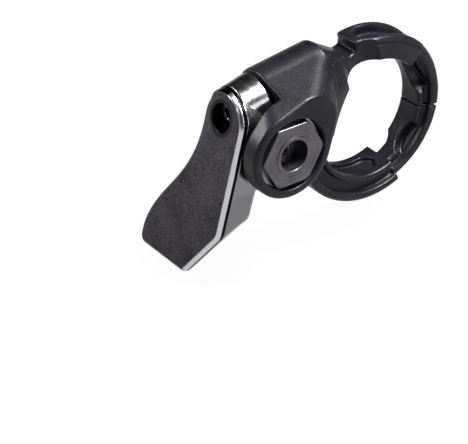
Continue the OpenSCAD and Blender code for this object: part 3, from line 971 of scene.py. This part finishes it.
@dataclass
class CableAnchor:
    """The grub screw and pad that hold the cable in the lever's arm."""

    screw_r: float = 1.25
    length: float = 4.0
    socket: float = 1.25
    top: float = 8.9
    across: float = -2.8
    along: float = 23.497
    pitch: float = 0.45

    def build(self, black: bpy.types.Material, bronze: bpy.types.Material) -> bpy.types.Object:
        """Builds the screw and finishes its pad."""
        rings: list[tuple[float, Radius]] = [
            (1.75, 0.02), (1.6, hexagon(self.socket, 0.01)), (0.12, hexagon(self.socket, 0.01)),
            (0.0, self.socket * 0.6 + 0.03), (0.0, self.screw_r - 0.35)]
        height = 0.12
        while height < self.length - 0.3:
            rings.append((height, thread(self.screw_r, self.pitch, height, 0.18)))
            height += self.pitch / 8
        rings += [(self.length - 0.25, self.screw_r - 0.2), (self.length, self.screw_r - 0.35),
                  (self.length, 0.02)]
        place = LAYOUT.pivot() @ Matrix.Translation(
            (self.across, -self.along, -self.top - self.length))
        piece = lofted("grub_screw", rings, place)
        dress(piece, Body.LEVER, black, "anchor_screw")
        paint("pinch_pad", bronze, 0.08)
        return piece


# Studio


@dataclass(frozen=True)
class SoftBox:
    """A rectangular lamp that points at the object."""

    name: str
    towards: Triple
    distance: float
    width: float
    height: float
    power: float
    aim: Triple = (0.0, -0.012, 0.0)

    def build(self) -> None:
        """Builds the lamp."""
        lamp = bpy.data.lights.new(self.name, "AREA")
        lamp.shape = "RECTANGLE"
        lamp.size = self.width
        lamp.size_y = self.height
        lamp.energy = self.power
        holder = bpy.data.objects.new(self.name, lamp)
        spot = Vector(self.aim) + Vector(self.towards).normalized() * self.distance
        holder.location = spot
        holder.rotation_euler = (Vector(self.aim) - spot).to_track_quat("-Z", "Y").to_euler()
        holder.visible_camera = False
        bpy.context.scene.collection.objects.link(holder)
        LOG.info("lamp %s", self.name)


@dataclass
class Studio:
    """A white table, the room round it, the lamps and the camera."""

    floor_z: float = -0.0232
    floor_size: float = 6.0
    room_low: float = 0.26
    room_high: float = 0.01
    lamps: tuple[SoftBox, ...] = (
        SoftBox("key", (0.30, 0.30, 0.90), 0.45, 0.17, 0.12, 11.5),
        SoftBox("face", (-0.42, -0.86, 0.66), 0.075, 0.03, 0.03, 0.09),
        SoftBox("side", (0.90, 0.25, 0.30), 0.60, 0.08, 0.30, 0.8),
    )

    def floor(self) -> bpy.types.Object:
        """Builds the table, which is white to the camera and keeps a faint shadow.

        Returns:
            The table's object.
        """
        half = self.floor_size / 2
        points = [Vector((x, y, self.floor_z)) for x, y in ((-half, -half), (half, -half),
                                                            (half, half), (-half, half))]
        table = mesh_piece("table", points, [(0, 1, 2, 3)])
        graph = Graph("white_table")
        grain = graph.noise(60.0, 3.0)
        graph.colour(graph.blend(grain, (0.44, 0.44, 0.44), (0.46, 0.46, 0.46)))
        graph.plain(Roughness=0.7, Specular_IOR_Level=0.2)
        glow = graph.add("ShaderNodeEmission")
        glow.inputs["Strength"].default_value = 1.0
        rays = graph.add("ShaderNodeLightPath")
        seen = graph.math("MAXIMUM", rays.outputs["Is Camera Ray"],
                          graph.math("MAXIMUM", rays.outputs["Is Glossy Ray"],
                                     rays.outputs["Is Transmission Ray"]))
        mix = graph.add("ShaderNodeMixShader")
        graph.join(graph.math("MULTIPLY", seen, 0.965), mix.inputs[0])
        graph.join(graph.shader.outputs["BSDF"], mix.inputs[1])
        graph.join(glow.outputs["Emission"], mix.inputs[2])
        graph.join(mix.outputs["Shader"], graph.output.inputs["Surface"])
        table.data.materials.append(graph.material)
        return table

    def room(self) -> None:
        """Builds the room: white near the horizon, dim overhead, white to the camera."""
        world = bpy.data.worlds.new("room")
        bpy.context.scene.world = world
        world.use_nodes = True
        nodes, links = world.node_tree.nodes, world.node_tree.links
        back = nodes["Background"]
        coords = nodes.new("ShaderNodeTexCoord")
        split = nodes.new("ShaderNodeSeparateXYZ")
        links.new(coords.outputs["Generated"], split.inputs["Vector"])
        ramp = nodes.new("ShaderNodeMapRange")
        ramp.clamp = True
        links.new(split.outputs["Z"], ramp.inputs["Value"])
        for key, value in (("From Min", 0.02), ("From Max", 0.24), ("To Min", self.room_low),
                           ("To Max", self.room_high)):
            ramp.inputs[key].default_value = value
        rays = nodes.new("ShaderNodeLightPath")
        most = nodes.new("ShaderNodeMath")
        most.operation = "MAXIMUM"
        links.new(ramp.outputs["Result"], most.inputs[0])
        links.new(rays.outputs["Is Camera Ray"], most.inputs[1])
        links.new(most.outputs[0], back.inputs["Strength"])
        back.inputs["Color"].default_value = (1.0, 1.0, 1.0, 1.0)

    def camera(self) -> bpy.types.Object:
        """Sets the camera at the photograph's viewing angle.

        Returns:
            The camera's object.
        """
        data = bpy.data.cameras.new("camera")
        data.lens = 169.2
        data.sensor_width = 36.0
        data.clip_start = 0.01
        data.clip_end = 20.0
        data.dof.use_dof = False
        holder = bpy.data.objects.new("camera", data)
        back = Vector((0.6835, -0.502, 0.530)).normalized()
        right = Vector((0.592, 0.806, 0.0)).normalized()
        up = back.cross(right)
        pose = Matrix((right, up, back)).transposed().to_4x4()
        pose.translation = (383.9 * back - 22.20 * right - 19.38 * up) * MM
        holder.matrix_world = pose
        bpy.context.scene.collection.objects.link(holder)
        bpy.context.scene.camera = holder
        return holder

    def build(self) -> None:
        """Builds the whole studio."""
        bpy.context.scene.view_settings.view_transform = "Standard"
        self.camera()
        self.floor()
        self.room()
        for lamp in self.lamps:
            lamp.build()


class Finishes:
    """Every material of the object, made once."""

    def __init__(self) -> None:
        """Builds the materials."""
        face = LAYOUT.blade()
        normal = (face.to_3x3() @ Vector((0, -1, 0))).normalized()
        offset = normal.dot(face.translation) * MM
        axis = tuple(LAYOUT.pivot().to_3x3() @ Vector((0, 1, 0)))
        pivot = tuple(LAYOUT.pivot().translation)
        boss = (0.0, -LAYOUT.boss_y, LAYOUT.boss_z)
        bar = (1.0, 0.0, 0.0)
        bolt = (0.0, -LAYOUT.bolt_y, 0.0)
        self.paint = CastPaint().build()
        self.lever = LeverFinish("lever_polish", tuple(normal), offset, pivot, axis).build()
        self.stop = Metal("anodised_stop", (0.075, 0.071, 0.083), (0.12, 0.115, 0.13),
                          (0.34, 0.46), Lay.TURNED, boss, bar, 4200.0, 0.02).build()
        self.stop_washer = Metal("washer_steel", (0.30, 0.30, 0.31), (0.48, 0.48, 0.50),
                                 (0.26, 0.4), Lay.TURNED, boss, bar).build()
        self.black_bolt = Metal("black_oxide", (0.020, 0.020, 0.023), (0.048, 0.046, 0.046),
                                (0.28, 0.42), Lay.TURNED, bolt).build()
        self.black_pivot = Metal("black_oxide_pivot", (0.028, 0.028, 0.03), (0.06, 0.058, 0.058),
                                 (0.26, 0.4), Lay.TURNED, pivot, axis).build()
        self.clamp_steel = Metal("clamp_steel", (0.38, 0.38, 0.39), (0.58, 0.58, 0.60),
                                 (0.24, 0.38), Lay.TURNED, bolt).build()
        self.pin_steel = Metal("pin_steel", (0.40, 0.40, 0.41), (0.6, 0.6, 0.62), (0.2, 0.34),
                               Lay.ROLLED, axis=bar).build()
        self.pivot_steel = Metal("pivot_steel", (0.38, 0.38, 0.39), (0.58, 0.58, 0.6),
                                 (0.24, 0.38), Lay.TURNED, pivot, axis).build()
        self.spring = Metal("spring_wire", (0.30, 0.30, 0.31), (0.52, 0.52, 0.54), (0.22, 0.36),
                            Lay.TUMBLED, marks=2600.0).build()
        self.bronze = Metal("sintered_bronze", (0.36, 0.23, 0.10), (0.60, 0.42, 0.20),
                            (0.34, 0.5), Lay.TUMBLED, marks=6200.0, depth=0.02).build()
        self.nylon = Nylon().build()


def main() -> None:
    """Builds the object's pieces in order, and the studio round them."""
    logging.basicConfig(level=logging.INFO, format="%(name)s: %(message)s")
    Studio().build()
    finishes = Finishes()
    for casting, material in (
            (BodyCasting("body", Body.FRAME, Slot.BODY), finishes.paint),
            (Casting("jaw", Body.JAW, Slot.BODY, voxel=0.14), finishes.paint),
            (LeverCasting("lever", Body.LEVER, Slot.LEVER, voxel=0.15, rounds=14),
             finishes.lever)):
        casting.dress(casting.build(), material)
    CapScrew().build(finishes.black_bolt)
    PivotStack().build(finishes.black_pivot, finishes.pivot_steel, finishes.bronze, finishes.nylon)
    ReturnSpring().build(finishes.spring)
    CableStop().build(finishes.stop, finishes.stop_washer)
    CableAnchor().build(finishes.black_pivot, finishes.bronze)
    paint("hinge_pin", finishes.pin_steel, 0.1)
    paint("bolt_washer", finishes.clamp_steel, 0.08)
    paint("thread_insert", finishes.clamp_steel, 0.08)


if __name__ == "__main__":
    main()
